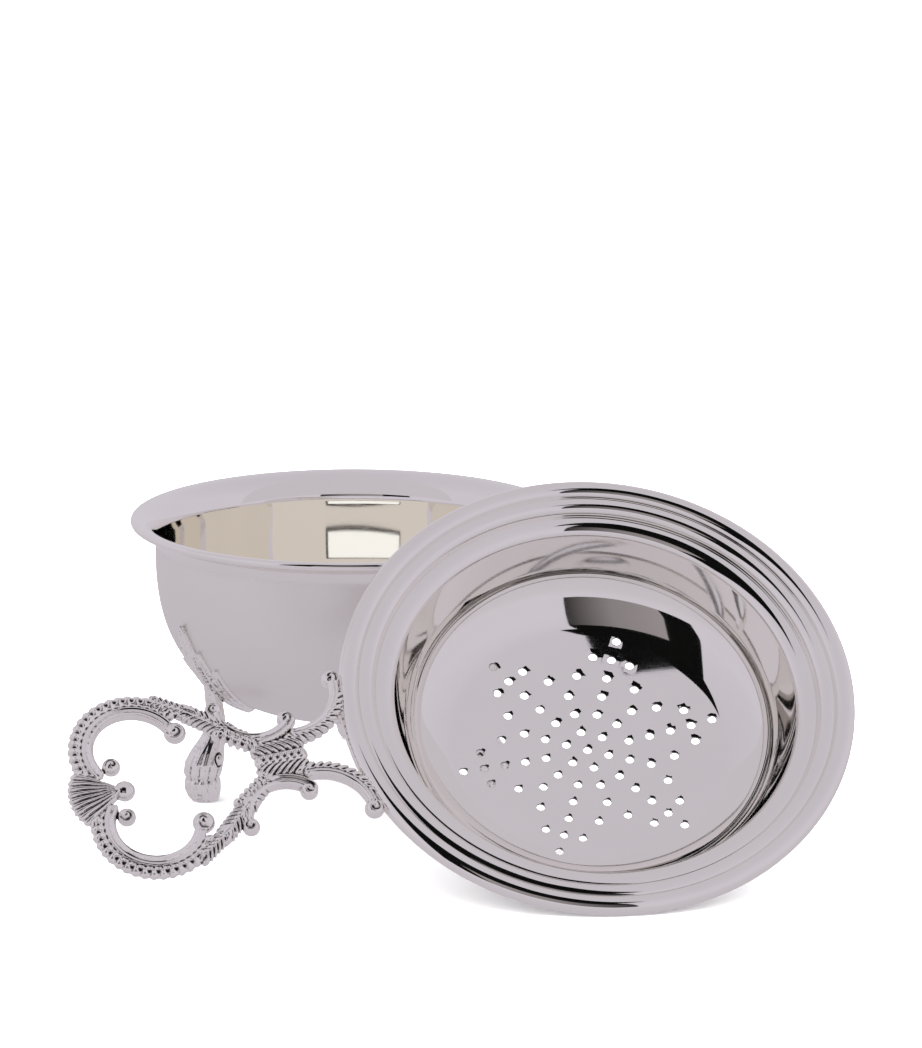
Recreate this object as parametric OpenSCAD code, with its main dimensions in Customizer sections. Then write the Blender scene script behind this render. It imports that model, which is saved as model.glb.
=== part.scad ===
// Tea strainer beside its footed drip bowl, in millimetres.
// The strainer is modelled flat about its own axis and then leant back on the edge of its
// border and the corner of its dish, with the border's top just clear of the bowl's lip.

/* [Strainer] */
// Outer radius of the moulded border
border_r = 45; // [44:0.1:46]
// Radius of the opening inside the border
opening_r = 35; // [34.6:0.1:35.2]
// Depth of the dish's middle below the border's edge
dish_depth = 18; // [17.5:0.1:18.5]
// Thickness of the silver sheet
sheet = 0.75; // [0.6:0.05:0.9]
// Diameter of each pierced hole
hole_d = 1.5; // [1:0.1:2]
// Distance between neighbouring rings of holes
ring_pitch = 3.82; // [3.5:0.01:3.83]

/* [Lean] */
// Angle of the strainer's face away from level
lean = 42.15; // [42:0.05:42.5]
// Turn of the lean direction about the vertical
lean_turn = 6.66; // [6:0.01:7]
// Turn of the handle in the plane of the border
handle_turn = 11.8; // [11:0.1:12.5]
// Strainer centre from the bowl's axis, to the right
lean_x = 43.7; // [43.5:0.1:44.5]
// Strainer centre from the bowl's axis, to the front
lean_y = 58.3; // [58.3:0.1:59.5]

/* [Handle] */
// Length of the handle past the border's edge
handle_reach = 49.5; // [49.5:0.1:50]
// Radius of the large end scrolls, to the smooth inner rib
loop_r = 7.7; // [7.5:0.1:7.9]
// Half thickness of the smooth ribs
rib_r = 1.15; // [1:0.05:1.2]

/* [Drip bowl] */
// Outer radius of the bowl's body
bowl_r = 35.35; // [35:0.05:36]
// Outer radius of the lip
lip_r = 39.8; // [39.5:0.1:40]
// Height of the lip's top above the table
lip_z = 49.4; // [49:0.1:49.7]
// Height of the bowl's underside above the table
bowl_bottom_z = 12.6; // [12.3:0.1:13]
// Squareness of the bowl's curve: 2 is an ellipse
bowl_power = 2.55; // [2.4:0.01:2.7]

/* [Feet] */
// Distance of each foot's sole from the bowl's axis
foot_r = 30.4; // [30:0.1:31]
// Half width of each foot's leaf at its widest
leaf_w = 7.6; // [6.5:0.1:8.5]
// Thickness of the leaf on the bowl
leaf_t = 1.1; // [0.9:0.1:1.4]

/* [Hidden] */
$fn = 96;
SILVER = [0.82, 0.81, 0.82];
CAST = [0.76, 0.75, 0.76];

// The origin stands below the middle of the whole object's box.
bowl_x = -20.75;
bowl_y = 27;

// Border: heights are above the plane of its widest circle, which the edge's centre lies under.
edge_z = -0.45;
outer_crest = [border_r - 1.95, 1.2];
outer_groove = [border_r - 3.5, 0];
middle_crest = [border_r - 4.9, 0.35];
inner_groove = [border_r - 6.5, -1.43];
inner_crest = [border_r - 7.4, -1.25];
fold_z = -2.9;
edge_drop = 1;

// Dish: arcs that meet in line, each given by its radius and the slopes where it ends.
floor_radius = 176;
floor_r = 24;
floor_slope = asin(floor_r / floor_radius);
bend_radius = 3.8;
bend_slope = 21;
flank_radius = 24;
flank_slope = 33;
corner_radius = 9;
wall_slope = 72;

// Lip of the drip bowl.
lip_bead = 0.72;
body_top_z = lip_z - 5.67;
lip_mid_r = lip_r - lip_bead;

// Gap behind each foot's leaf that the solder fills.
solder = 0.05;

// Points on an elliptical arc about c, from angle a0 to a1.
function arc(c, rx, rz, a0, a1, n) =
    [for (i = [0:n]) let (a = a0 + (a1 - a0) * i / n) [c[0] + rx * cos(a), c[1] + rz * sin(a)]];

// Points on a hollow arc of radius r about c, between two slopes of its surface.
function slope_arc(c, r, s0, s1, n) =
    [for (i = [0:n]) let (s = s0 + (s1 - s0) * i / n) [c[0] + r * sin(s), c[1] - r * cos(s)]];

// Centre of the arc of radius r1 that carries on from the arc of radius r0 about c0 at slope s.
function next_centre(c0, r0, r1, s) = c0 + (r0 - r1) * [sin(s), -cos(s)];

floor_c = [0, floor_radius - dish_depth];
bend_c = next_centre(floor_c, floor_radius, bend_radius, floor_slope);
flank_c = next_centre(bend_c, bend_radius, flank_radius, bend_slope);
corner_c = next_centre(flank_c, flank_radius, corner_radius, flank_slope);

// How far the border's edge and the dish's corner reach below the leaning strainer's centre.
edge_reach = outer_crest[0] * sin(lean) - edge_z * cos(lean)
    + sqrt(pow((border_r - outer_crest[0]) * sin(lean), 2) + pow(edge_drop * cos(lean), 2));
dish_reach = corner_c[0] * sin(lean) - corner_c[1] * cos(lean) + corner_radius + sheet;
stand_z = max(edge_reach, dish_reach);

// The dish's surface from the middle outwards, grow outside its inner face.
function dish_curve(grow) = concat(
    slope_arc(floor_c, floor_radius + grow, 0, floor_slope, 8),
    slope_arc(bend_c, bend_radius + grow, floor_slope + 2, bend_slope, 4),
    slope_arc(flank_c, flank_radius + grow, bend_slope + 2, flank_slope, 5),
    slope_arc(corner_c, corner_radius + grow, flank_slope + 4, wall_slope, 10));

// The border's upper surface from the fold at the opening out to its lower edge.
function border_curve() = concat(
    arc([inner_crest[0], fold_z], inner_crest[0] - opening_r, inner_crest[1] - fold_z, 180, 90, 10),
    arc([inner_crest[0], inner_groove[1]], inner_groove[0] - inner_crest[0],
        inner_crest[1] - inner_groove[1], 60, 0, 3),
    arc([middle_crest[0], inner_groove[1]], middle_crest[0] - inner_groove[0],
        middle_crest[1] - inner_groove[1], 170, 90, 9),
    arc([middle_crest[0], outer_groove[1]], outer_groove[0] - middle_crest[0],
        middle_crest[1], 70, 0, 6),
    arc([outer_crest[0], outer_groove[1]], outer_crest[0] - outer_groove[0],
        outer_crest[1], 170, 90, 9),
    arc([outer_crest[0], edge_z], border_r - outer_crest[0], outer_crest[1] - edge_z, 80, 0, 9),
    arc([outer_crest[0], edge_z], border_r - outer_crest[0], edge_drop, -10, -90, 8));

// Angles of the holes in each ring of the six-armed star, from the handle's line.
function ring_angles(ring) =
    ring == 1 ? [for (i = [0:5]) i * 60 + 30] :
    ring <= 3 ? [for (i = [0:11]) i * 30] :
    ring == 4 ? [for (i = [0:17]) i * 20] :
    ring == 5 ? [for (i = [0:5]) for (side = [-10, 0, 10]) i * 60 + side] :
    [for (i = [0:5]) i * 60];

// One hole's cutter, standing through the dish's floor.
module hole_at(r, a) {
    rotate([0, 0, a])
        translate([r, 0, -dish_depth - 2])
            cylinder(d = hole_d, h = 5, $fn = 32);
}

// A list of points in the opposite order.
function reversed(points) = [for (i = [len(points) - 1:-1:0]) points[i]];

module strainer_flat() {
    under = [
        [outer_groove[0], outer_groove[1] - 1.1],
        [inner_groove[0] + 0.2, inner_groove[1] - 0.9],
        [opening_r + 1.2, fold_z + 0.2]];
    difference() {
        rotate_extrude()
            polygon(concat(dish_curve(0), border_curve(), under, reversed(dish_curve(sheet))));
        hole_at(0, 0);
        for (ring = [1:6])
            for (a = ring_angles(ring))
                hole_at(ring * ring_pitch, a);
    }
}

// Puts a part of the flat strainer where it leans on the bowl.
module leaning() {
    translate([bowl_x + lean_x, bowl_y - lean_y, stand_z])
        rotate([lean, 0, lean_turn])
            rotate([0, 0, handle_turn])
                children();
}

module strainer_dish() {
    color(SILVER)
        leaning()
            strainer_flat();
}

// Part of a ring of width w, on an arc about c.
module band(c, arc_r, w, a0, a1) {
    n = ceil((a1 - a0) / 8);
    inner = arc(c, arc_r - w / 2, arc_r - w / 2, a1, a0, n);
    polygon(concat(arc(c, arc_r + w / 2, arc_r + w / 2, a0, a1, n), inner));
}

// Round end of a scroll.
module curl(p, r) {
    translate(p)
        circle(r, $fn = 32);
}

// Straight bar of width w between two points.
module bar(p, q, w) {
    d = q - p;
    translate(p)
        rotate([0, 0, atan2(d[1], d[0])])
            translate([0, -w / 2])
                square([norm(d), w]);
}

// Where the parts of the handle's upper half lie, from the strainer's centre.
tip_x = -border_r - handle_reach;
shell_apex = [tip_x + 10, 0];
loop_c = [tip_x + 13.2, 7.6];
bead_w = 2.1;
bead_arc = loop_r + rib_r + bead_w / 2 - 0.15;
mid_c = [-59, 11.5];
mid_r = 7;
mid_w = 2.2;
root_c = [-53, 13];
root_r = 9.3;
root_w = 2.7;
neck = [-60.6, 3.9];
collar = [7, 5.2];
collar_x = -57;
root_bite = 1;

// Leafy bands of the upper half, the thinnest part of the casting.
module leaf_bands() {
    band(loop_c, bead_arc, bead_w, 50, 197);
    bar(loop_c + [5.6, 7.9], neck, 3);
    curl(neck, 1.8);
    band(root_c, root_r, root_w, 262, 358);
}

// Smooth ribs that line the scrolls.
module ribs() {
    band(loop_c, loop_r, 2 * rib_r, 12, 205);
    band(mid_c, mid_r, mid_w, 185, 322);
}

module curls() {
    curl(loop_c + [8, 1.7], 1.9);
    curl(loop_c + [-4.6, -2.2], 1.5);
    curl(mid_c + [-6.6, 0.6], 1.5);
    curl(mid_c + [4.9, -4], 1.5);
    curl(root_c + [8.7, 0.6], 1.7);
}

// Fluted shell at the handle's end.
module shell() {
    fan_r = shell_apex[0] - tip_x;
    polygon(concat(
        [for (i = [-10:10]) let (a = 180 + i * 4, r = fan_r - 0.3 * (i % 2 == 0 ? 0 : 1))
            shell_apex + r * [cos(a), sin(a)]],
        [shell_apex + [1, -0.9], shell_apex + [1, 0.9]]));
    curl(shell_apex + [-0.4, 0], 1.7);
}

// Draws a flat shape on both sides of the handle's line.
module both_sides() {
    children();
    mirror([0, 1])
        children();
}

// A level of the casting, t thick about the border's plane.
module level(t) {
    linear_extrude(height = t, center = true)
        children();
}

module handle() {
    color(CAST)
        leaning()
            difference() {
                union() {
                    level(2) {
                        both_sides()
                            leaf_bands();
                        shell();
                        translate([collar_x, 0])
                            square(collar, center = true);
                    }
                    level(2.6)
                        both_sides()
                            ribs();
                    level(3.2)
                        both_sides()
                            curls();
                }
                cylinder(r = border_r - root_bite, h = 6, center = true);
            }
}

// Section of the bowl's wall from the middle of its underside up to the lip's start.
function bowl_curve(r, z, n) =
    [for (i = [0:n]) let (a = 90 - 90 * i / n)
        [r * pow(cos(a), 2 / bowl_power), body_top_z - (body_top_z - z) * pow(sin(a), 2 / bowl_power)]];

module drip_bowl() {
    inner_r = bowl_r - sheet;
    lip_c = [lip_mid_r, body_top_z];
    inner = concat(
        bowl_curve(inner_r, bowl_bottom_z + sheet, 30),
        arc(lip_c, lip_mid_r - inner_r, lip_z - body_top_z, 174, 90, 12));
    outer = concat(
        bowl_curve(bowl_r, bowl_bottom_z, 30),
        arc(lip_c, lip_mid_r - bowl_r, lip_z - 2 * lip_bead - body_top_z, 174, 96, 10));
    edge = arc([lip_mid_r, lip_z - lip_bead], lip_bead, lip_bead, 75, -90, 10);
    color(SILVER)
        translate([bowl_x, bowl_y, 0])
            rotate_extrude()
                polygon(concat(inner, edge, reversed(outer)));
}

// Outer radius of the bowl's wall at height z.
function wall_r(z) =
    bowl_r * pow(1 - pow((body_top_z - z) / (body_top_z - bowl_bottom_z), bowl_power), 1 / bowl_power);

// A level of a foot's leaf: height, middle radius, half depth and half width, its back on the bowl.
function leaf_level(z, depth, half_w) = [z, wall_r(z) + solder + depth / 2, depth / 2, half_w];

// Levels of a foot from its sole up to its leaf's tip, in the same terms.
foot_levels = [
    [0, foot_r - 0.2, 2.3, 2.3],
    [0.8, foot_r + 0.1, 3.1, 3.2],
    [2.8, foot_r + 0.3, 3.7, 3.8],
    [5.5, foot_r, 3.7, 3.8],
    [8, foot_r - 0.6, 3.3, 3.5],
    [10, foot_r - 1.4, 2.5, 2.9],
    [12, foot_r - 2.1, 1.9, 2.2],
    [14.5, foot_r - 2.5, 1.8, 1.9],
    [17, foot_r - 2.1, 1.9, 2.4],
    leaf_level(20, leaf_t + 3, leaf_w * 0.6),
    leaf_level(22.5, leaf_t + 1.8, leaf_w * 0.9),
    leaf_level(24.5, leaf_t + 0.9, leaf_w),
    leaf_level(27, leaf_t + 0.3, leaf_w * 0.85),
    leaf_level(29.5, leaf_t, leaf_w * 0.62),
    leaf_level(31.5, leaf_t - 0.1, leaf_w * 0.4),
    leaf_level(33, leaf_t - 0.4, leaf_w * 0.12)];

// A foot, with the bowl's axis at the origin and the toe along +X: one loft that wraps the bowl.
module foot() {
    sides = 20;
    rows = len(foot_levels);
    points = [for (v = foot_levels) for (i = [0:sides - 1])
        let (t = 360 * i / sides, r = v[1] + v[2] * cos(t), a = asin(v[3] * sin(t) / v[1]))
            [r * cos(a), r * sin(a), v[0]]];
    walls = [for (k = [0:rows - 2]) for (i = [0:sides - 1])
        let (j = (i + 1) % sides)
            [k * sides + i, (k + 1) * sides + i, (k + 1) * sides + j, k * sides + j]];
    sole = [for (i = [0:sides - 1]) i];
    tip = [for (i = [sides - 1:-1:0]) (rows - 1) * sides + i];
    polyhedron(points, concat([sole], walls, [tip]), convexity = 4);
}

module foot_at(a) {
    color(CAST)
        translate([bowl_x, bowl_y, 0])
            rotate([0, 0, a])
                foot();
}

module foot_left() foot_at(210);
module foot_right() foot_at(330);
module foot_back() foot_at(90);

drip_bowl();
foot_left();
foot_right();
foot_back();
strainer_dish();
handle();
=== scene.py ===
"""Silver tea strainer, leaning beside its footed drip bowl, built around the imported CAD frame.

The pieces are made in millimetres, and new_object turns them into the frame's metres. The studio's
own sizes are in metres.
"""

from math import asin, cos, degrees, hypot, pi, radians, sin

import bmesh
import bpy
import numpy as np
from mathutils import Matrix, Vector
from mathutils.geometry import delaunay_2d_cdt


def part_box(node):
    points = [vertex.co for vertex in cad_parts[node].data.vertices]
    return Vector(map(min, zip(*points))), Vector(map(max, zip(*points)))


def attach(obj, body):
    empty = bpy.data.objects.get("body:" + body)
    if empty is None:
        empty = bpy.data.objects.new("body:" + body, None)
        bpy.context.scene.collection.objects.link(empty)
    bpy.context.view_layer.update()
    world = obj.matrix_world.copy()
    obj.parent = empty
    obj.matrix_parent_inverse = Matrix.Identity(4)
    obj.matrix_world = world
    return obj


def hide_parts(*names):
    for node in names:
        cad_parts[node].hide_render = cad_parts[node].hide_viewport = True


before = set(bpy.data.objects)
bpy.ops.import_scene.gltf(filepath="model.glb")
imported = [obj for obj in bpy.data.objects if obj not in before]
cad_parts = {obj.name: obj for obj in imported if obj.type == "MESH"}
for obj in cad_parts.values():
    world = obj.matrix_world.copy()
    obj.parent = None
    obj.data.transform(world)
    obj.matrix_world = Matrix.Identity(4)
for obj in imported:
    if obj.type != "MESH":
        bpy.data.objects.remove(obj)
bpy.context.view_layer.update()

MM = 0.001

# Strainer: its own plane is that of the border's widest circle, and its handle points to -X.
LEAN = radians(42.15)
LEAN_TURN = radians(6.66)
HANDLE_TURN = radians(11.8)
BORDER_R = 45
OPENING_R = 35
DISH_DEPTH = 18
SHEET = 0.75
HOLE_R = 0.75
RING_PITCH = 3.82
HANDLE_REACH = 49.5

# Drip bowl and feet.
BOWL_POWER = 2.55
FLARE_RISE = 5.67
LIP_BEAD = 0.72
LIP_OVERHANG = 4.45  # how far the lip stands out past the body
FOOT_R = 30.4
FOOT_TURNS = {"foot_left": 210, "foot_right": 330, "foot_back": 90}

TURNS = 320  # steps round each spun piece

# Camera, in metres and radians.
CAMERA_AT = (-0.00064, -1.1324, 0.30935)
CAMERA_DOWN = 0.222
CAMERA_LENS = 225.2

SILVER = (0.93, 0.91, 0.88)


# ---------------------------------------------------------------- outlines

def arc(c, rx, rz, a0, a1, n):
    """Points on an elliptical arc about c, from angle a0 to a1 in degrees."""
    angles = np.radians(np.linspace(a0, a1, n + 1))
    return [(c[0] + rx * cos(a), c[1] + rz * sin(a)) for a in angles]


def slope_arc(c, r, s0, s1, n):
    """Points on a hollow arc of radius r about c, between two slopes of its surface."""
    slopes = np.radians(np.linspace(s0, s1, n + 1))
    return [(c[0] + r * sin(s), c[1] - r * cos(s)) for s in slopes]


def next_centre(c, r0, r1, slope):
    """Centre of the arc of radius r1 that carries on from the arc of radius r0 about c."""
    s = radians(slope)
    return (c[0] + (r0 - r1) * sin(s), c[1] - (r0 - r1) * cos(s))


# The dish: arcs that meet in line, each given by its radius and the slope where it ends.
FLOOR_RADIUS = 176
FLOOR_R = 24
FLOOR_SLOPE = degrees(asin(FLOOR_R / FLOOR_RADIUS))
BEND_RADIUS, BEND_SLOPE = 3.8, 21
FLANK_RADIUS, FLANK_SLOPE = 24, 33
CORNER_RADIUS, WALL_SLOPE = 9, 72
FLOOR_C = (0, FLOOR_RADIUS - DISH_DEPTH)
BEND_C = next_centre(FLOOR_C, FLOOR_RADIUS, BEND_RADIUS, FLOOR_SLOPE)
FLANK_C = next_centre(BEND_C, BEND_RADIUS, FLANK_RADIUS, BEND_SLOPE)
CORNER_C = next_centre(FLANK_C, FLANK_RADIUS, CORNER_RADIUS, FLANK_SLOPE)
DISC_R = 25.2  # the pierced disc ends here, on the flank


def dish_height(r, grow=0.0):
    """(height, slope in radians) of the dish's inner face, or of one that lies grow outside it."""
    for centre, radius, end in ((FLOOR_C, FLOOR_RADIUS, FLOOR_SLOPE), (BEND_C, BEND_RADIUS, BEND_SLOPE),
                                (FLANK_C, FLANK_RADIUS, FLANK_SLOPE)):
        slope = asin(min((r - centre[0]) / (radius + grow), 1))
        if slope <= radians(end) + 1e-9:
            break
    return centre[1] - (radius + grow) * cos(slope), slope


def dish_side(grow):
    """The dish's section from the pierced disc's edge up to its wall."""
    start = degrees(dish_height(DISC_R, grow)[1])
    return (slope_arc(FLANK_C, FLANK_RADIUS + grow, start, FLANK_SLOPE, 10)
            + slope_arc(CORNER_C, CORNER_RADIUS + grow, FLANK_SLOPE + 2, WALL_SLOPE, 24))


OUTER_CREST = (BORDER_R - 1.95, 1.2)
OUTER_GROOVE = (BORDER_R - 3.5, 0.0)
MIDDLE_CREST = (BORDER_R - 4.9, 0.35)
INNER_GROOVE = (BORDER_R - 6.5, -1.43)
INNER_CREST = (BORDER_R - 7.4, -1.25)
FOLD_Z = -2.9
EDGE_Z = -0.45


def border_section():
    """The border's mouldings from the fold at the opening out to the lower edge."""
    return (
        arc((INNER_CREST[0], FOLD_Z), INNER_CREST[0] - OPENING_R, INNER_CREST[1] - FOLD_Z, 180, 90, 24)
        + arc((INNER_CREST[0], INNER_GROOVE[1]), INNER_GROOVE[0] - INNER_CREST[0],
              INNER_CREST[1] - INNER_GROOVE[1], 80, 12, 8)
        + arc((MIDDLE_CREST[0], INNER_GROOVE[1]), MIDDLE_CREST[0] - INNER_GROOVE[0],
              MIDDLE_CREST[1] - INNER_GROOVE[1], 174, 90, 18)
        + arc((MIDDLE_CREST[0], OUTER_GROOVE[1]), OUTER_GROOVE[0] - MIDDLE_CREST[0],
              MIDDLE_CREST[1], 80, 12, 10)
        + arc((OUTER_CREST[0], OUTER_GROOVE[1]), OUTER_CREST[0] - OUTER_GROOVE[0],
              OUTER_CREST[1], 172, 90, 18)
        + arc((OUTER_CREST[0], EDGE_Z), BORDER_R - OUTER_CREST[0], OUTER_CREST[1] - EDGE_Z, 84, 0, 18)
        + arc((OUTER_CREST[0], EDGE_Z), BORDER_R - OUTER_CREST[0], 1, -8, -90, 14))


def border_underside():
    """The hollow back of the mouldings, from the rolled edge in to the dish."""
    return [
        (OUTER_CREST[0] - 0.4, EDGE_Z - 0.95), (OUTER_CREST[0] - 0.75, EDGE_Z - 0.7),
        (OUTER_GROOVE[0] + 0.3, -0.95), (OUTER_GROOVE[0] - 0.3, -0.95),
        (MIDDLE_CREST[0] - 0.4, -0.75), (INNER_GROOVE[0] + 0.6, -1.7),
        (INNER_GROOVE[0] - 0.2, -2.3), (INNER_CREST[0], -2.15), (INNER_CREST[0] - 0.9, -2.5),
        (OPENING_R + SHEET + 0.2, FOLD_Z - 0.4)]


def bowl_section(low, high):
    """The drip bowl's whole section, closed, from its box: inside, lip, then outside."""
    lip_r = (high.x - low.x) / 2 / MM
    lip_z, bottom = high.z / MM, low.z / MM
    body_top = lip_z - FLARE_RISE
    mid_r = lip_r - LIP_BEAD
    body_r = lip_r - LIP_OVERHANG

    def body(r, z, n):
        angles = np.linspace(pi / 2, 0, n + 1)
        power = 2 / BOWL_POWER
        return [(r * cos(a) ** power if cos(a) > 1e-6 else 0.0, body_top - (body_top - z) * sin(a) ** power)
                for a in angles]

    inner_r = body_r - SHEET
    inside = body(inner_r, bottom + SHEET, 90)
    inside += arc((mid_r, body_top), mid_r - inner_r, FLARE_RISE, 178, 90, 34)
    edge = arc((mid_r, lip_z - LIP_BEAD), LIP_BEAD, LIP_BEAD, 80, -90, 18)
    outside = body(body_r, bottom, 90)
    outside += arc((mid_r, body_top), mid_r - body_r, FLARE_RISE - 2 * LIP_BEAD, 177, 92, 30)
    return inside + edge + outside[::-1]


# ---------------------------------------------------------------- meshes

def new_object(name, verts, faces, matrix=None):
    """A mesh object from points in millimetres."""
    mesh = bpy.data.meshes.new(name)
    mesh.from_pydata((np.asarray(verts, float) * MM).tolist(), [], [list(map(int, f)) for f in faces])
    if matrix is not None:
        mesh.transform(matrix)
    mesh.polygons.foreach_set("use_smooth", [True] * len(mesh.polygons))
    mesh.update()
    obj = bpy.data.objects.new(name, mesh)
    bpy.context.scene.collection.objects.link(obj)
    return obj


def spin(section, turns=TURNS, first=0):
    """(points, quads) of a section spun about Z. Points on the axis are doubled, for clean() to merge."""
    angles = np.linspace(0, 2 * pi, turns, endpoint=False)
    verts = [(r * cos(a), r * sin(a), z) for r, z in section for a in angles]
    faces = []
    for k in range(len(section) - 1):
        for i in range(turns):
            j = (i + 1) % turns
            faces.append((first + k * turns + i, first + k * turns + j,
                          first + (k + 1) * turns + j, first + (k + 1) * turns + i))
    return verts, faces


def clean(obj, sharp=38):
    """Merges doubled points, points the faces outwards and keeps only real edges sharp."""
    work = bmesh.new()
    work.from_mesh(obj.data)
    bmesh.ops.remove_doubles(work, verts=work.verts, dist=2e-6)
    bmesh.ops.recalc_face_normals(work, faces=work.faces)
    work.to_mesh(obj.data)
    work.free()
    obj.data.set_sharp_from_angle(angle=radians(sharp))
    return obj


def hole_centres():
    """Centres of the pierced holes: six rings that make a six-armed star."""
    rings = {1: [k * 60 + 30 for k in range(6)],
             2: [k * 30 for k in range(12)],
             3: [k * 30 for k in range(12)],
             4: [k * 20 for k in range(18)],
             5: [k * 60 + side for k in range(6) for side in (-10, 0, 10)],
             6: [k * 60 for k in range(6)]}
    centres = [(0.0, 0.0)]
    for ring, turns in rings.items():
        r = ring * RING_PITCH
        centres += [(r * cos(radians(a)), r * sin(radians(a))) for a in turns]
    return centres


def pierced_disc():
    """(points, faces, first point of the hole walls) of the pierced disc: two faces and the holes."""
    sides, easing, spacing = 28, 0.07, 0.8
    eased_r = HOLE_R + easing
    centres = hole_centres()
    turn = np.linspace(0, 2 * pi, TURNS, endpoint=False)
    flat = [(DISC_R * cos(a), DISC_R * sin(a)) for a in turn]
    edges = [(i, (i + 1) % TURNS) for i in range(TURNS)]
    loops = []
    for cx, cy in centres:
        start = len(flat)
        flat += [(cx + eased_r * cos(a), cy + eased_r * sin(a))
                 for a in np.linspace(0, 2 * pi, sides, endpoint=False)]
        edges += [(start + i, start + (i + 1) % sides) for i in range(sides)]
        loops.append(start)
    hole = np.array(centres)
    for ring in range(1, int(DISC_R / spacing) + 1):
        r = ring * spacing
        count = int(2 * pi * r / spacing)
        for a in np.linspace(0, 2 * pi, count, endpoint=False) + ring * 0.37:
            p = np.array((r * cos(a), r * sin(a)))
            if r < DISC_R - 0.35 and np.hypot(*(hole - p).T).min() > eased_r + 0.25:
                flat.append(tuple(p))
    points, _, triangles, origins, _, _ = delaunay_2d_cdt([Vector(p) for p in flat], edges, [], 1, 1e-6)
    place = {k: i for i, group in enumerate(origins) for k in group}
    points = np.array(points)
    middle = points[np.array([t[:3] for t in triangles])].mean(1)
    within = eased_r * cos(pi / sides)
    keep = [t for t, m in zip(triangles, middle) if np.hypot(*(hole - m).T).min() > within]
    n = len(points)
    radius = np.hypot(points[:, 0], points[:, 1])
    top = np.array([dish_height(r)[0] for r in radius])
    under = np.array([dish_height(r, SHEET)[0] for r in radius])
    # The sheet thins where it is pierced.
    under = top + (under - top) * np.interp(radius, (23.6, DISC_R), (0.5, 1.0))
    verts = [(x, y, z) for (x, y), z in zip(points, top)] + [(x, y, z) for (x, y), z in zip(points, under)]
    faces = [tuple(t) for t in keep] + [tuple(n + i for i in t[::-1]) for t in keep]
    for (cx, cy), start in zip(centres, loops):
        ring = [place[k] for k in range(start, start + sides)]
        levels = [ring]
        for share in (easing / SHEET, 1 - easing / SHEET):
            levels.append([])
            for i in ring:
                x = cx + (points[i][0] - cx) * HOLE_R / eased_r
                y = cy + (points[i][1] - cy) * HOLE_R / eased_r
                levels[-1].append(len(verts))
                verts.append((x, y, top[i] * (1 - share) + under[i] * share))
        levels.append([n + i for i in ring])
        for upper, lower in zip(levels, levels[1:]):
            for i in range(sides):
                j = (i + 1) % sides
                faces.append((upper[i], upper[j], lower[j], lower[i]))
    return verts, faces, 2 * n


def mark(obj, name, values):
    """Stores one value per point for the material to read."""
    attribute = obj.data.attributes.new(name, "FLOAT", "POINT")
    attribute.data.foreach_set("value", np.asarray(values, np.float32))


def surface_net(field, origin, step):
    """(points, quads, hollowness) of the surface where field, sampled on a grid, passes through 0.

    The field is negative inside. Hollowness is the share of solid near each point, 0.5 on a flat face.
    """
    shape = tuple(s - 1 for s in field.shape)
    inside = field < 0
    count = np.zeros(shape, np.int8)
    corners = [(i, j, k) for i in (0, 1) for j in (0, 1) for k in (0, 1)]
    for i, j, k in corners:
        count += inside[i:i + shape[0], j:j + shape[1], k:k + shape[2]]
    cells = np.argwhere((count > 0) & (count < 8))
    number = np.full(shape, -1, np.int32)
    number[tuple(cells.T)] = np.arange(len(cells))
    total = np.zeros((len(cells), 3))
    hits = np.zeros(len(cells))
    for a in corners:
        for axis in range(3):
            if a[axis]:
                continue
            b = list(a)
            b[axis] = 1
            fa = field[tuple((cells + a).T)]
            fb = field[tuple((cells + b).T)]
            crossed = (fa < 0) != (fb < 0)
            share = np.where(crossed, fa / np.where(crossed, fa - fb, 1), 0)
            point = np.tile(np.array(a, float), (len(cells), 1))
            point[:, axis] = share
            total[crossed] += point[crossed]
            hits += crossed
    points = (cells + total / hits[:, None]) * step + origin
    quads = []
    for axis in range(3):
        u, v = (axis + 1) % 3, (axis + 2) % 3
        low, high = [slice(None)] * 3, [slice(None)] * 3
        low[axis], high[axis] = slice(0, -1), slice(1, None)
        change = inside[tuple(low)] != inside[tuple(high)]
        at = np.argwhere(change)
        at = at[(at[:, u] > 0) & (at[:, v] > 0) & (at[:, u] < shape[u]) & (at[:, v] < shape[v])]
        outward = inside[tuple(at.T)]
        ring = []
        for du, dv in ((1, 1), (0, 1), (0, 0), (1, 0)):
            cell = at.copy()
            cell[:, u] -= du
            cell[:, v] -= dv
            ring.append(number[tuple(cell.T)])
        ring = np.stack(ring, 1)
        quads.append(np.where(outward[:, None], ring, ring[:, ::-1]))
    quads = np.concatenate(quads)
    solid = inside.astype(np.float32)
    reach = max(int(round(0.35 / step)), 1)
    for axis in range(3):
        padding = [(reach + 1, reach) if k == axis else (0, 0) for k in range(3)]
        summed = np.cumsum(np.pad(solid, padding), axis)
        size = solid.shape[axis]
        far = np.take(summed, np.arange(2 * reach + 1, 2 * reach + 1 + size), axis)
        near = np.take(summed, np.arange(0, size), axis)
        solid = (far - near) / (2 * reach + 1)
    nearest = np.rint((points - origin) / step).astype(int)
    hollow = solid[tuple(nearest.T)]
    return points, quads, hollow


def relax(points, quads, rounds):
    """Evens the points out, without shrinking the shape."""
    ends = np.concatenate([quads[:, [i, (i + 1) % 4]] for i in range(4)])
    number = np.bincount(ends[:, 0], minlength=len(points)) + np.bincount(ends[:, 1], minlength=len(points))
    for k in range(2 * rounds):
        total = np.zeros_like(points)
        for axis in range(3):
            total[:, axis] = (np.bincount(ends[:, 0], points[ends[:, 1], axis], len(points))
                              + np.bincount(ends[:, 1], points[ends[:, 0], axis], len(points)))
        points = points + (0.5 if k % 2 == 0 else -0.52) * (total / number[:, None] - points)
    return points


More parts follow.
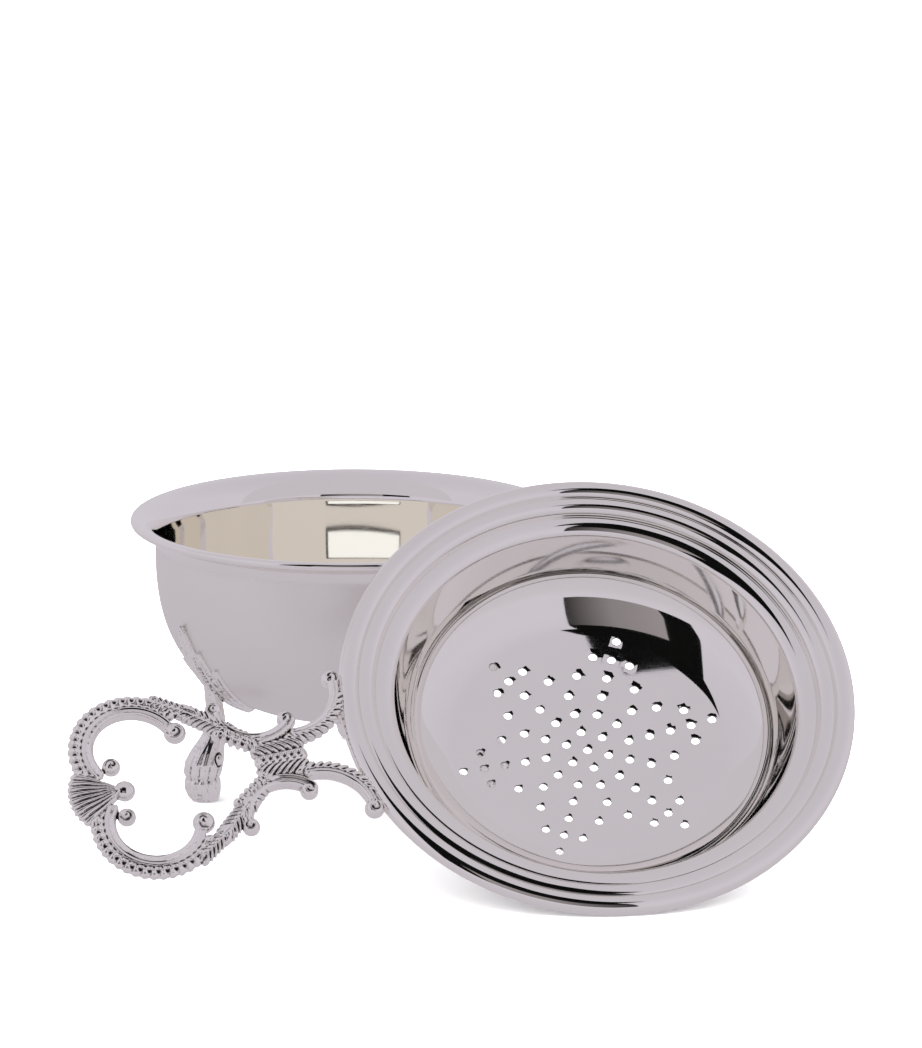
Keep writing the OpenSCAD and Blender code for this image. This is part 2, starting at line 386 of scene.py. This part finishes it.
def cast_object(name, field, origin, step, matrix, rounds=2):
    """A casting from a sampled field, with its hollows kept in the attribute 'recess', which darkens them
    with tarnish and painted shade.
    """
    points, quads, hollow = surface_net(field, np.array(origin), step)
    points = relax(points, quads, rounds)
    obj = new_object(name, points, quads, matrix)
    # The deepest hollows are darkest: tarnish, and painted shade where less light reaches.
    mark(obj, "hollow_tarnish_and_shade", np.clip((hollow - 0.58) / 0.17, 0, 1))
    return obj


# ---------------------------------------------------------------- handle

class Plane:
    """The handle's plane, sampled. relief holds the square of half the casting's thickness."""

    def __init__(self, x0, x1, y0, y1, step):
        self.step = step
        self.x0, self.y0 = x0, y0
        self.xs, self.ys = np.arange(x0, x1, step), np.arange(y0, y1, step)
        self.x, self.y = np.meshgrid(self.xs, self.ys, indexing="ij")
        self.relief = np.full(self.x.shape, -9.0)

    def add(self, height, edge):
        """Adds a shape of that half thickness, whose edge runs from 1 in its middle to 0 at its outline."""
        self.relief = np.maximum(self.relief, np.where(edge > 0, height ** 2 * edge, 4 * edge))


def along_arc(plane, c, r, a0, a1, flip=1):
    """(offset outwards, distance along, distance from) an arc, all in millimetres, with round ends."""
    px, py = plane.x - c[0], flip * plane.y - c[1]
    rho = np.hypot(px, py)
    span = (a1 - a0) * pi / 180
    turn = np.mod(np.arctan2(py, px) - radians(a0) + (2 * pi - span) / 2, 2 * pi) - (2 * pi - span) / 2
    inside = np.clip(turn, 0, span)
    off_end = (turn - inside) * rho
    return rho - r, inside * r, np.hypot(rho - r, off_end)


def along_line(plane, p, q, flip=1):
    """(offset to the left, distance along, distance from) a straight line with round ends."""
    px, py = plane.x - p[0], flip * plane.y - p[1]
    length = hypot(q[0] - p[0], q[1] - p[1])
    ux, uy = (q[0] - p[0]) / length, (q[1] - p[1]) / length
    s = px * ux + py * uy
    inside = np.clip(s, 0, length)
    side = py * ux - px * uy
    return side, inside, np.hypot(side, s - inside)


def rounded(distance, half, power=2.4):
    """1 on a band's middle line, falling to 0 at its half width."""
    return 1 - (distance / half) ** power


def curl(plane, c, r, turn, flip=1, height=1.5, hand=1):
    """A rolled scroll end: a ball with a spiral groove that ends in an eye."""
    px, py = plane.x - c[0], flip * plane.y - c[1]
    rho = np.hypot(px, py)
    angle = np.mod(hand * (np.arctan2(py, px) - radians(turn)), 2 * pi)
    groove_r = r * (0.72 - 0.1 * angle)
    groove = np.exp(-((rho - groove_r) / (0.13 * r)) ** 2) * (angle < 5.2) * np.clip(angle / 0.5, 0, 1)
    eye = np.exp(-(rho / (0.2 * r)) ** 2)
    plane.add(height - 0.62 * groove + 0.1 * eye, rounded(rho, r, 2.2))


def channel(plane, offset, distance, half, height, dip, shift=0.0):
    """A scroll rib with two rolled edges and a hollow face between them."""
    hollow = np.exp(-((offset - shift) / (0.42 * half)) ** 2)
    plane.add(height - dip * hollow, rounded(distance, half, 3.2))


def handle_half(plane, flip):
    """Everything that the handle has on one side of its line."""
    loop_c = (-81.3, 7.6)
    open_end = 205 if flip > 0 else 214
    # Smooth inner rib of the big scroll, with its hollow face towards the beads.
    off, _, dist = along_arc(plane, loop_c, 7.75, 10, open_end, flip)
    lip = np.exp(-((off + 0.62) / 0.34) ** 2)
    plane.add(0.98 + 0.38 * lip - 0.34 * np.exp(-((off - 0.35) / 0.4) ** 2), rounded(dist, 1.12, 3.4))
    # Beaded outer band: a row of pearls between a fillet and a scalloped edge.
    off, s, dist = along_arc(plane, loop_c, 9.85, 36, 194, flip)
    pitch = 1.52
    beat = np.cos(2 * pi * s / pitch)
    half = 1.18 + 0.13 * beat
    pearl = np.exp(-((off - 0.05) / 0.42) ** 2) * (0.5 + 0.5 * beat)
    pits = np.exp(-((off - 0.1) / 0.36) ** 2) * (0.5 - 0.5 * beat) ** 2
    cuts = np.exp(-((off - 0.78) / 0.34) ** 2) * (0.5 - 0.5 * np.cos(2 * pi * s / pitch + 0.9)) ** 3
    plane.add(0.95 + 0.34 * pearl - 0.72 * pits - 0.42 * cuts, rounded(dist, half, 2.8))
    # Leaf that carries the scroll to the neck, cut obliquely on both sides of a vein.
    leaf_pitch = 1.02
    for p, q, wide, lean in (((-75.2, 16.1), (-69.6, 12.1), 1.45, 1),
                             ((-70.6, 12.9), (-64.6, 7.6), 1.75, 1),
                             ((-65.4, 8.2), (-60.2, 3.6), 1.45, -1)):
        off, s, dist = along_line(plane, p, q, flip)
        blade = np.abs(off) * 0.9 * lean + s
        cut = (0.5 - 0.5 * np.cos(2 * pi * blade / leaf_pitch)) ** 3
        vein = np.exp(-(off / 0.2) ** 2)
        half = wide + 0.16 * np.cos(2 * pi * (blade + 0.1) / leaf_pitch)
        beside_vein = np.clip(np.abs(off) / 0.5, 0, 1)
        plane.add(1.28 - 0.5 * cut * beside_vein - 0.25 * vein, rounded(dist, half, 2.4))
    # Beads along the leaf's inner edge, under the middle scroll.
    _, s, dist = along_line(plane, (-66.4, 7.1), (-60.8, 2.9), flip)
    beat = np.cos(2 * pi * s / 1.35)
    plane.add(1.1 + 0.15 * beat - 0.5 * (0.5 - 0.5 * beat) ** 2, rounded(dist, 0.85 + 0.2 * beat, 2.2))
    # Middle scroll, a C that opens outwards.
    mid_c = (-59, 11.5)
    mid_r = 7.0
    off, _, dist = along_arc(plane, mid_c, mid_r, 186, 321, flip)
    channel(plane, off, dist, 1.18, 1.42, 0.52, 0.1)
    # Root: a smooth rib that sweeps out to the border, with gadroons on the side next to the line.
    root_c = (-53, 13)
    root_r = 9.3
    off, _, dist = along_arc(plane, root_c, root_r - 0.5, 268, 356, flip)
    plane.add(1.45 - 0.3 * np.exp(-((off - 0.2) / 0.3) ** 2), rounded(dist, 0.95, 2.6))
    off, s, dist = along_arc(plane, root_c, root_r + 0.35, 262, 345, flip)
    wave = np.cos(2 * pi * (s - 0.85 * off) / 1.32)
    cut = (0.5 - 0.5 * wave) ** 2.5
    plane.add(1.22 - 0.6 * cut, rounded(dist, 1.15 + 0.2 * wave, 2.6))
    # Rolled ends of the scrolls.
    curl(plane, (loop_c[0] + 8.0, loop_c[1] + 1.75), 1.95, 150 if flip > 0 else 60, flip, 1.58, 1)
    curl(plane, (loop_c[0] - 4.4, loop_c[1] - 2.4), 1.6, 200, flip, 1.5, -1)
    curl(plane, (mid_c[0] - 6.7, mid_c[1] + 0.7), 1.55, 300, flip, 1.5, -1)
    curl(plane, (mid_c[0] + 4.9, mid_c[1] - 4.0), 1.55, 240, flip, 1.52, 1)
    curl(plane, (root_c[0] + 8.75, root_c[1] + 0.65), 1.7, 250, flip, 1.55, 1)


def handle_middle(plane):
    """The shell at the handle's end and the collar at its neck."""
    apex, reach = (-84.9, 0.0), 9.55
    px, py = -(plane.x - apex[0]), plane.y - apex[1]
    rho, angle = np.hypot(px, py), np.degrees(np.arctan2(py, px))
    bent = angle + 7 * np.sin(np.radians(angle * 2)) * np.clip(rho / reach, 0, 1)
    rib = np.cos(np.radians(bent * 360 / 9.4))
    fan = 47 - 9 * np.clip(1 - rho / reach, 0, 1)
    edge_r = reach - 0.55 * (np.abs(angle) / 50) ** 3 + 0.12 * rib
    rise = 1.02 + 0.42 * np.exp(-((rho - 1.5) / 3.2) ** 2)
    depth = 0.46 * np.clip((rho - 1.2) / 1.8, 0, 1)
    edge = np.minimum(1 - (rho / edge_r) ** 9, 1 - (np.abs(angle) / fan) ** 7)
    edge = np.where(np.abs(angle) > 120, -1, edge)
    plane.add(rise - depth * (0.5 - 0.5 * rib) ** 1.6, edge)
    bulb = np.hypot(plane.x - apex[0] - 0.2, plane.y)
    plane.add(np.full(bulb.shape, 1.56), rounded(bulb, 1.85, 2.2))
    # Collar: a row of beads across the neck between two fillets.
    off, _, dist = along_line(plane, (-60.4, 0), (-53.6, 0))
    beat = np.cos(2 * pi * (plane.x + 57) / 1.25)
    pearl = np.exp(-(off / 0.5) ** 2)
    plane.add(0.92 + 0.45 * pearl * (0.5 + 0.5 * beat) - 0.3 * pearl * (0.5 - 0.5 * beat),
              rounded(dist, 1.35, 3))
    for side in (1, -1):
        off, _, dist = along_line(plane, (-60.6, 2.1), (-53.4, 2.5), side)
        wave = np.cos(2 * pi * (plane.x * 0.9 + off) / 1.1)
        cut = (0.5 - 0.5 * wave) ** 2.5
        plane.add(1.25 - 0.55 * cut, rounded(dist, 1.3 + 0.12 * wave, 2.6))


def make_handle(name, matrix):
    """The openwork handle: one casting, the same on both faces."""
    plane = Plane(-95.2, -42.4, -19.6, 19.6, 0.12)
    for flip in (1, -1):
        handle_half(plane, flip)
    handle_middle(plane)
    from_centre = np.hypot(plane.x, plane.y)
    # The roots end inside the border, and the shell ends at the handle's full reach.
    plane.relief = np.minimum(plane.relief, 2.0 * (from_centre - (BORDER_R - 1)))
    plane.relief = np.minimum(plane.relief, plane.x + BORDER_R + HANDLE_REACH)
    zs = np.arange(-1.86, 1.87, plane.step)
    field = (zs[None, None, :] ** 2 - plane.relief[:, :, None]).astype(np.float32)
    return cast_object(name, field, (plane.x0, plane.y0, zs[0]), plane.step, matrix)


# ---------------------------------------------------------------- feet

def bowl_wall_r(z, body_r, top, bottom):
    """Outer radius of the bowl's body at height z."""
    share = np.clip((top - z) / (top - bottom), 0, 1)
    return body_r * np.maximum(1 - share ** BOWL_POWER, 0) ** (1 / BOWL_POWER)


def make_foot_mesh(name, body_r, top, bottom):
    """A cast foot with the bowl's axis at the origin and its toe along +X: leaf, ankle and fluted toe."""
    step = 0.15
    x0, y0, z0 = 21.4, -8.7, -0.45
    xs, ys, zs = np.arange(x0, 36, step), np.arange(y0, 8.75, step), np.arange(z0, 34, step)
    x, y, z = (g.astype(np.float32) for g in np.meshgrid(xs, ys, zs, indexing="ij"))
    # Toe and ankle: round sections whose size follows the height.
    heights = [0, 0.8, 2.2, 3.6, 4.3, 5.2, 7.2, 9.2, 11, 13, 15, 18, 21, 24]
    middle = [FOOT_R + d for d in (-.2, 0, .2, .25, .2, .2, -.2, -.9, -1.7, -2.4, -2.6, -2.2, -1.6, -.9)]
    size = [2.2, 2.9, 3.3, 3.3, 3.05, 3.5, 3.55, 3.05, 2.4, 1.85, 1.7, 1.6, 1.3, 0.7]
    mid, half = np.interp(z, heights, middle), np.interp(z, heights, size)
    px, rho = x - mid, np.hypot(x - mid, y)
    angle = np.arctan2(y, px)
    tier = np.clip(1 - np.abs(z - 5.2) / 6.2, 0, 1)
    flute = np.abs(np.cos(angle * 5.5 + np.where(z < 4.1, 0.25, 0)))
    field = rho - half * (1 - 0.13 * tier * (1 - flute) ** 1.5)
    field = np.maximum(field, -z)
    # Bosses high on the toe's flanks, in dark rings.
    for side in (1, -1):
        d = np.sqrt(((x - FOOT_R + 1.5) / 0.75) ** 2 + ((y - side * 2.9) / 0.85) ** 2
                    + ((z - 7.9) / 1.05) ** 2)
        field = np.maximum(field, 0.9 * (1.35 - d))
        field = np.minimum(field, 0.75 * (d - 1))
    # Leaf on the wall: five blades that step down towards the ankle.
    wall = bowl_wall_r(z, body_r, top, bottom)
    from_axis = np.hypot(x, y)
    out = from_axis - wall
    arc_y = np.arctan2(y, x) * from_axis
    low = 12.5
    for tip_z, tip_y, wide, thick in ((33.0, 0.0, 2.5, 1.15), (28.3, 3.1, 2.3, 1.0), (25.3, 5.9, 2.1, 0.85)):
        for side in ((1, -1) if tip_y else (1,)):
            t = np.clip((z - low) / (tip_z - low), 0, 1.02)
            line = side * tip_y * t ** 1.35
            width = wide * (0.45 + 1.1 * t - 1.5 * t ** 3.2 + 0.02) + 0.25
            across = (arc_y - line) / np.maximum(width, 0.12)
            shape = np.maximum(1 - across ** 2, -1)
            crest = thick * (1 + 1.9 * np.clip(1 - t, 0, 1) ** 1.5)
            cup = 0.32 * np.exp(-(across / 0.35) ** 2) * np.clip(2.2 * t - 0.4, 0, 1)
            height = crest * (np.sqrt(np.maximum(shape, 0)) - cup)
            blade = np.maximum(out - height, -0.9 * out - 0.35)
            blade = np.where(shape < 0, np.maximum(blade, 0.5 * width * (np.abs(across) - 1)), blade)
            blade = np.maximum(blade, 0.6 * (z - tip_z))
            blade = np.maximum(blade, low + 0.1 - z)
            field = np.minimum(field, blade)
    # Nothing goes deeper than a hair into the bowl's wall.
    field = np.maximum(field, -out - 0.05)
    return cast_object(name, field.astype(np.float32), (x0, y0, z0), step, None, rounds=3)


# ---------------------------------------------------------------- materials

def material(name):
    mat = bpy.data.materials.new(name)
    mat.use_nodes = True
    tree = mat.node_tree
    shader = tree.nodes["Principled BSDF"]
    return mat, tree, shader


def node(tree, kind, **values):
    """A node with its inputs set by name and its other settings by lower-case name."""
    made = tree.nodes.new(kind)
    for key, value in values.items():
        if key in made.inputs:
            made.inputs[key].default_value = value
        else:
            setattr(made, key, value)
    return made


def ramp(tree, source, stops):
    """A colour ramp over source, from (position, colour) stops."""
    made = tree.nodes.new("ShaderNodeValToRGB")
    elements = made.color_ramp.elements
    while len(elements) < len(stops):
        elements.new(0.5)
    for element, (position, colour) in zip(elements, stops):
        element.position = position
        element.color = colour
    tree.links.new(source, made.inputs["Fac"])
    return made.outputs["Color"]


def grey(value):
    return (value, value, value, 1)


def polished_silver(name, tint, grain):
    """Hand-polished silver plate: a near mirror with fine rubbing marks and slightly duller patches.

    The attribute 'satin' dulls it, and 'pierced' darkens the walls of the holes with painted shade.
    """
    mat, tree, shader = material(name)
    link = tree.links.new
    place = node(tree, "ShaderNodeTexCoord").outputs["Object"]
    shader.inputs["Metallic"].default_value = 1
    patches = node(tree, "ShaderNodeTexNoise", Scale=55.0, Detail=4.0, Roughness=0.55)
    link(place, patches.inputs["Vector"])
    colour = ramp(tree, patches.outputs["Fac"],
                  [(0.3, tuple(0.975 * t for t in tint) + (1,)), (0.7, tuple(tint) + (1,))])
    # Painted shade: the walls of the pierced holes get a darker base colour.
    pierced = node(tree, "ShaderNodeAttribute", attribute_name="pierced").outputs["Fac"]
    shade = ramp(tree, pierced, [(0.2, grey(1.0)), (0.8, grey(0.3))])
    shaded = node(tree, "ShaderNodeVectorMath", operation="MULTIPLY")
    link(colour, shaded.inputs[0])
    link(shade, shaded.inputs[1])
    link(shaded.outputs["Vector"], shader.inputs["Base Color"])
    rubbed = node(tree, "ShaderNodeMapping")
    rubbed.inputs["Scale"].default_value = (1, 1, 14)
    link(place, rubbed.inputs["Vector"])
    marks = node(tree, "ShaderNodeTexNoise", Scale=420.0, Detail=6.0, Roughness=0.7)
    link(rubbed.outputs["Vector"], marks.inputs["Vector"])
    wear = node(tree, "ShaderNodeMath", operation="MULTIPLY")
    link(marks.outputs["Fac"], wear.inputs[0])
    link(patches.outputs["Fac"], wear.inputs[1])
    mirror = ramp(tree, wear.outputs["Value"],
                  [(0.12, grey(0.018)), (0.3, grey(0.045)), (0.5, grey(0.085))])
    satin = node(tree, "ShaderNodeAttribute", attribute_name="satin").outputs["Fac"]
    rough = node(tree, "ShaderNodeMath", operation="MULTIPLY_ADD")
    rough.inputs[1].default_value = 0.34
    link(satin, rough.inputs[0])
    link(mirror, rough.inputs[2])
    link(rough.outputs["Value"], shader.inputs["Roughness"])
    bump = node(tree, "ShaderNodeBump", Strength=grain, Distance=0.00001)
    link(marks.outputs["Fac"], bump.inputs["Height"])
    link(bump.outputs["Normal"], shader.inputs["Normal"])
    return mat


def cast_silver(name, tint):
    """Cast silver plate: bright on its ridges, with dark tarnish and painted shade in its hollows."""
    mat, tree, shader = material(name)
    link = tree.links.new
    place = node(tree, "ShaderNodeTexCoord").outputs["Object"]
    shader.inputs["Metallic"].default_value = 1
    # Near black in the hollows: tarnish, and painted shade.
    hollow_tarnish_and_shade = node(tree, "ShaderNodeAttribute", attribute_name="hollow_tarnish_and_shade").outputs["Fac"]
    stain = node(tree, "ShaderNodeTexNoise", Scale=600.0, Detail=5.0, Roughness=0.65)
    link(place, stain.inputs["Vector"])
    # Random stain, plus tarnish and painted shade in the hollows.
    stain_tarnish_and_shade = node(tree, "ShaderNodeMath", operation="MULTIPLY_ADD")
    stain_tarnish_and_shade.inputs[1].default_value = 0.35
    link(stain.outputs["Fac"], stain_tarnish_and_shade.inputs[0])
    link(hollow_tarnish_and_shade, stain_tarnish_and_shade.inputs[2])
    bright = tuple(tint) + (1,)
    colour = ramp(tree, stain_tarnish_and_shade.outputs["Value"],
                  [(0.2, bright), (0.42, tuple(0.72 * t for t in tint) + (1,)),
                   (0.8, (0.07, 0.062, 0.06, 1))])
    link(colour, shader.inputs["Base Color"])
    link(ramp(tree, stain_tarnish_and_shade.outputs["Value"], [(0.1, grey(0.07)), (0.45, grey(0.2)), (0.9, grey(0.5))]),
         shader.inputs["Roughness"])
    skin = node(tree, "ShaderNodeTexNoise", Scale=1900.0, Detail=3.0, Roughness=0.6)
    link(place, skin.inputs["Vector"])
    bump = node(tree, "ShaderNodeBump", Strength=0.25, Distance=0.00003)
    link(skin.outputs["Fac"], bump.inputs["Height"])
    link(bump.outputs["Normal"], shader.inputs["Normal"])
    return mat


def glowing(name, colour):
    """A plain light-giving surface for the studio."""
    mat = bpy.data.materials.new(name)
    mat.use_nodes = True
    tree = mat.node_tree
    tree.nodes.clear()
    out = tree.nodes.new("ShaderNodeOutputMaterial")
    glow = node(tree, "ShaderNodeEmission", Strength=1.0)
    glow.inputs["Color"].default_value = tuple(colour) + (1,)
    tree.links.new(glow.outputs["Emission"], out.inputs["Surface"])
    return mat


# ---------------------------------------------------------------- studio

def aim_camera():
    """The camera, at the photographer's place and height."""
    data = bpy.data.cameras.new("camera")
    data.sensor_width = 36
    data.lens = CAMERA_LENS
    data.clip_end = 20
    camera = bpy.data.objects.new("camera", data)
    camera.location = CAMERA_AT
    camera.rotation_euler = (pi / 2 - CAMERA_DOWN, 0, 0)
    bpy.context.scene.collection.objects.link(camera)
    bpy.context.scene.camera = camera


def only_reflected(obj):
    """A studio surface that shows in the silver and nowhere else."""
    obj.visible_camera = False
    obj.visible_diffuse = False
    obj.visible_shadow = False


def studio_mesh(name, points, faces, mat):
    """A plain studio surface, in metres."""
    mesh = bpy.data.meshes.new(name)
    mesh.from_pydata(points, [], faces)
    mesh.materials.append(mat)
    obj = bpy.data.objects.new(name, mesh)
    bpy.context.scene.collection.objects.link(obj)
    return obj


def screen(name, azimuths, elevations, distance, mat):
    """A curved screen between two azimuths (0 in front, 90 to the right) and two elevations, in degrees."""
    columns, rows = 24, 16
    corners = [(radians(a), radians(e)) for e in np.linspace(*elevations, rows + 1)
               for a in np.linspace(*azimuths, columns + 1)]
    points = [(distance * sin(a) * cos(e), -distance * cos(a) * cos(e), distance * sin(e))
              for a, e in corners]
    wide = columns + 1
    faces = [(k, k + 1, k + wide + 1, k + wide)
             for r in range(rows) for k in range(r * wide, r * wide + columns)]
    obj = studio_mesh(name, points, faces, mat)
    mark(obj, "across", [(i % wide) / columns for i in range(len(points))])
    only_reflected(obj)


def card(name, xs, y, zs, mat):
    """An upright studio card across the view."""
    corners = [(xs[0], y, zs[0]), (xs[1], y, zs[0]), (xs[1], y, zs[1]), (xs[0], y, zs[1])]
    only_reflected(studio_mesh(name, corners, [(0, 1, 2, 3)], mat))


def fading(name, colour, low):
    """A glowing surface that fades from colour at its first azimuth to the share low of it at its second."""
    mat = glowing(name, colour)
    tree = mat.node_tree
    across = node(tree, "ShaderNodeAttribute", attribute_name="across").outputs["Fac"]
    stops = [(0.0, tuple(colour) + (1,)), (0.55, tuple(0.8 * c for c in colour) + (1,)),
             (1.0, tuple(low * c for c in colour) + (1,))]
    tree.links.new(ramp(tree, across, stops), tree.nodes["Emission"].inputs["Color"])
    return mat


def make_tent():
    """A light tent round the object: lilac white above, a shade darker towards the table."""
    mesh = bpy.data.meshes.new("tent")
    work = bmesh.new()
    bmesh.ops.create_uvsphere(work, u_segments=64, v_segments=32, radius=3.0)
    work.to_mesh(mesh)
    work.free()
    tent = bpy.data.objects.new("tent", mesh)
    bpy.context.scene.collection.objects.link(tent)
    mat = glowing("tent_cloth", (1, 1, 1))
    tree = mat.node_tree
    place = node(tree, "ShaderNodeTexCoord").outputs["Generated"]
    split = tree.nodes.new("ShaderNodeSeparateXYZ")
    tree.links.new(place, split.inputs["Vector"])
    colour = ramp(tree, split.outputs["Z"], [
        (0.0, (0.56, 0.525, 0.58, 1)), (0.45, (0.60, 0.565, 0.62, 1)), (0.55, (0.64, 0.605, 0.67, 1)),
        (0.75, (0.64, 0.61, 0.68, 1)), (1.0, (0.58, 0.555, 0.61, 1))])
    tree.links.new(colour, tree.nodes["Emission"].inputs["Color"])
    tent.data.materials.append(mat)
    only_reflected(tent)


def make_studio():
    """Pale floor, soft white light all round, and the cards that the silver mirrors."""
    scene = bpy.context.scene
    scene.view_settings.view_transform = "Standard"
    world = bpy.data.worlds.new("studio")
    world.use_nodes = True
    world.node_tree.nodes["Background"].inputs["Color"].default_value = (1, 1, 1, 1)
    world.node_tree.nodes["Background"].inputs["Strength"].default_value = 3.5
    scene.world = world
    mat, _, shader = material("floor_white")
    shader.inputs["Base Color"].default_value = (0.9, 0.9, 0.9, 1)
    shader.inputs["Roughness"].default_value = 1
    shader.inputs["Specular IOR Level"].default_value = 0
    reach = 3.0
    corners = [(-reach, -reach, 0), (reach, -reach, 0), (reach, reach, 0), (-reach, reach, 0)]
    floor = studio_mesh("floor", corners, [(0, 1, 2, 3)], mat)
    floor.visible_glossy = False
    make_tent()
    # The tent's dark front opening, with a grey panel standing in it.
    dark = glowing("dark_studio", (0.004, 0.004, 0.004))
    screen("dark_opening", (-37, 18.8), (12.6, 71), 2.2, dark)
    screen("dark_opening_side", (18.8, 24), (52, 69), 2.2, dark)
    grey_light = fading("grey_panel_light", (0.32, 0.29, 0.30), 0.12)
    screen("grey_panel", (-20, 18.3), (12.6, 39), 2.1, grey_light)
    # Over the bowl, the card that its flared lip mirrors.
    card("fill_card", (-0.11, 0.10), 0.004, (0.064, 0.30), glowing("fill_card_light", (0.58, 0.55, 0.60)))
    # Inside the bowl, what its far wall mirrors: a warm card, and a dark-edged white panel before it.
    card("warm_card", (-0.050, 0.010), 0.019, (0.028, 0.0455), glowing("warm_light", (0.66, 0.605, 0.555)))
    dark_edge = glowing("card_edge", (0.05, 0.045, 0.04))
    card("panel_edge", (-0.0352, -0.0142), 0.0197, (0.0346, 0.0421), dark_edge)
    card("white_panel", (-0.0344, -0.0150), 0.0204, (0.0354, 0.0417), glowing("white_light", (1, 0.99, 0.95)))


# ---------------------------------------------------------------- build

def dress(obj, mat, body, slot, *nodes):
    """Gives a piece its material and body, and hides the CAD nodes that it stands for. The slot is not used.
    """
    obj.data.materials.clear()
    obj.data.materials.append(mat)
    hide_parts(*nodes)
    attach(obj, body)
    return obj


aim_camera()
make_studio()

silver = polished_silver("silver_sheet_polish", SILVER, 0.05)
cast = cast_silver("silver_cast_polish", SILVER)

# Drip bowl, from its own box.
bowl_low, bowl_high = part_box("drip_bowl")
bowl_axis = Matrix.Translation(((bowl_low.x + bowl_high.x) / 2, (bowl_low.y + bowl_high.y) / 2, 0))
section = bowl_section(bowl_low, bowl_high)
verts, faces = spin(section)
bowl = new_object("drip_bowl_silver", verts, faces, bowl_axis)
top_z = bowl_high.z / MM
lip_edge = max(range(len(section)), key=lambda k: section[k][0])
# The outside is satin from just below the flare.
mark(bowl, "satin", [min(max((top_z - z - 3.4) / 1.6, 0), 1) if k > lip_edge else 0
                     for k, (_, z) in enumerate(section) for _ in range(TURNS)])
clean(bowl)
dress(bowl, silver, "bowl_stand", "silver_sheet", "drip_bowl")

# Strainer: turned as it leans, then moved so that its box meets the CAD node's box.
turned = (Matrix.Rotation(LEAN_TURN, 4, "Z") @ Matrix.Rotation(LEAN, 4, "X")
          @ Matrix.Rotation(HANDLE_TURN, 4, "Z"))
disc_verts, disc_faces, first_wall = pierced_disc()
side = dish_side(0) + border_section() + border_underside() + dish_side(SHEET)[::-1]
side_verts, side_faces = spin(side, first=len(disc_verts))
strainer = new_object("strainer_dish_silver", disc_verts + side_verts, disc_faces + side_faces, turned)
# Marks the hole walls, where the material paints shade.
mark(strainer, "pierced", [0] * first_wall + [1] * (len(disc_verts) - first_wall) + [0] * len(side_verts))
clean(strainer)
low = np.array([v.co for v in strainer.data.vertices]).min(0)
leaning = Matrix.Translation(Vector(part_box("strainer_dish")[0]) - Vector(low)) @ turned
strainer.data.transform(leaning @ turned.inverted())
dress(strainer, silver, "strainer", "silver_sheet", "strainer_dish")

handle = make_handle("handle_scrolls", leaning)
dress(handle, cast, "strainer", "silver_cast", "handle")

# Feet: one casting, turned to each of its three places.
lip_r = (bowl_high.x - bowl_low.x) / 2 / MM
foot = make_foot_mesh("foot_casting", lip_r - LIP_OVERHANG, top_z - FLARE_RISE, bowl_low.z / MM)
for cad_node, turn in FOOT_TURNS.items():
    copy = bpy.data.objects.new(cad_node + "_casting", foot.data.copy())
    bpy.context.scene.collection.objects.link(copy)
    copy.data.transform(bowl_axis @ Matrix.Rotation(radians(turn), 4, "Z"))
    dress(copy, cast, "bowl_stand", "silver_cast", cad_node)
bpy.data.objects.remove(foot)
